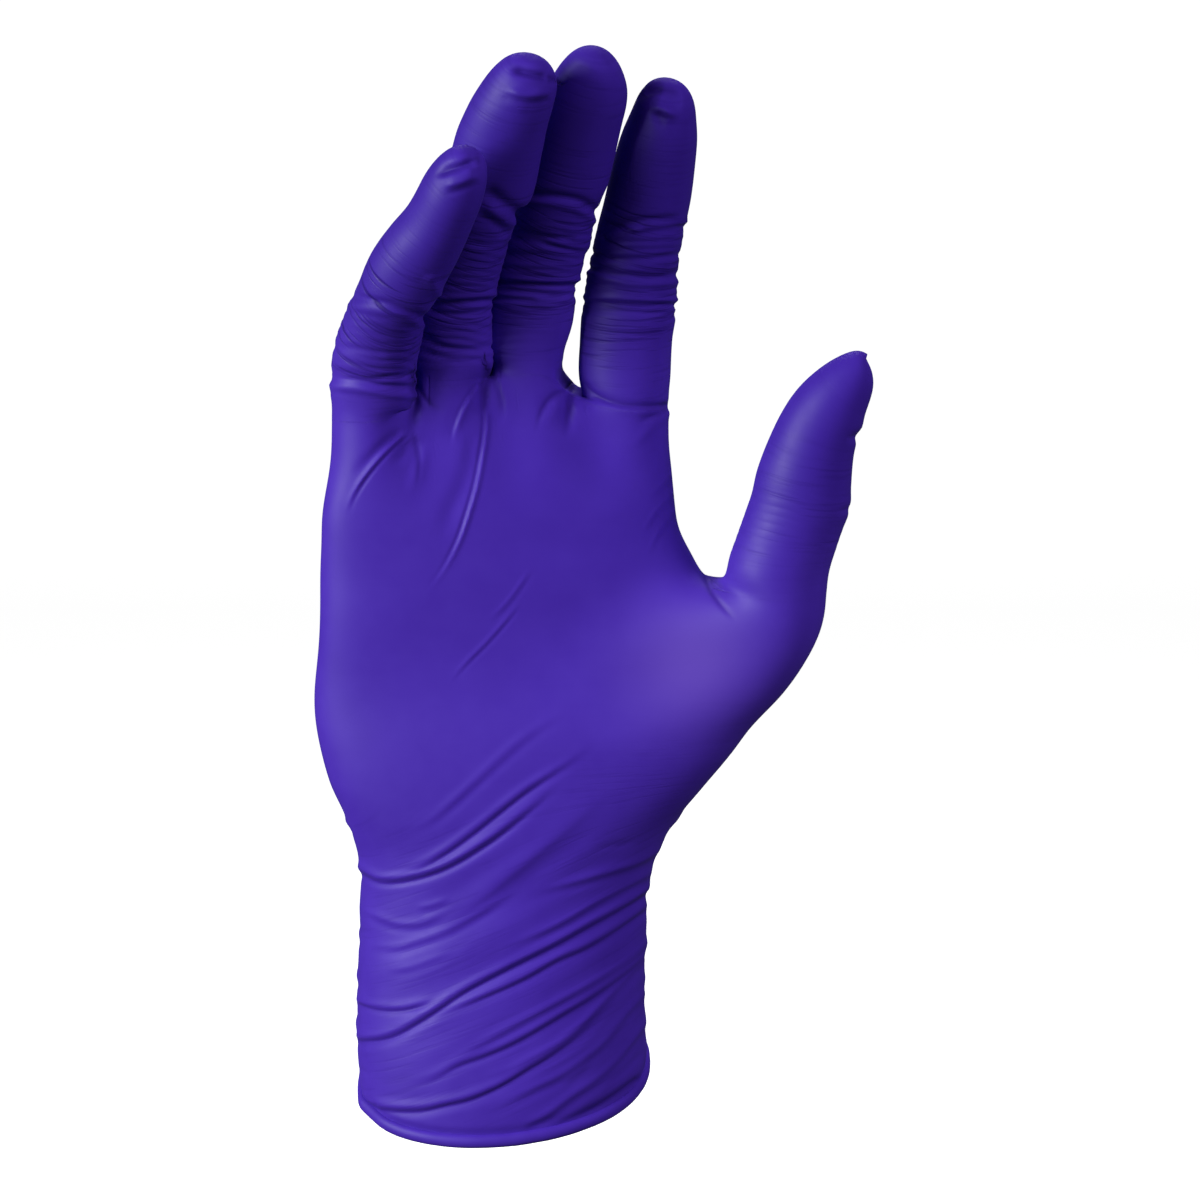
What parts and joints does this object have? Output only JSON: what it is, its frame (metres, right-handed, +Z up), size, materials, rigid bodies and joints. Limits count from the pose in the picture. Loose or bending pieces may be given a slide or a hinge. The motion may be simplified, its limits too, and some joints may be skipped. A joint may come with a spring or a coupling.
{
  "type": "nitrile exam glove",
  "caption": "Thin disposable glove of stretched film for the right hand, with separate fingers and thumb and a rolled bead round the open cuff, shaped as it is when worn.",
  "frame": {"origin": "centre of the cuff's open mouth, where the wrist goes in", "axes": "+Z up through the hand to the fingertips, the palm faces -Y, the thumb is on the +X side"},
  "size_m": [0.1209, 0.0724, 0.2439],
  "materials": {
    "nitrile": "matte violet-blue nitrile film with a faint satin sheen"
  },
  "bodies": {
    "root": {"glove": "nitrile"}
  },
  "joints": []
}
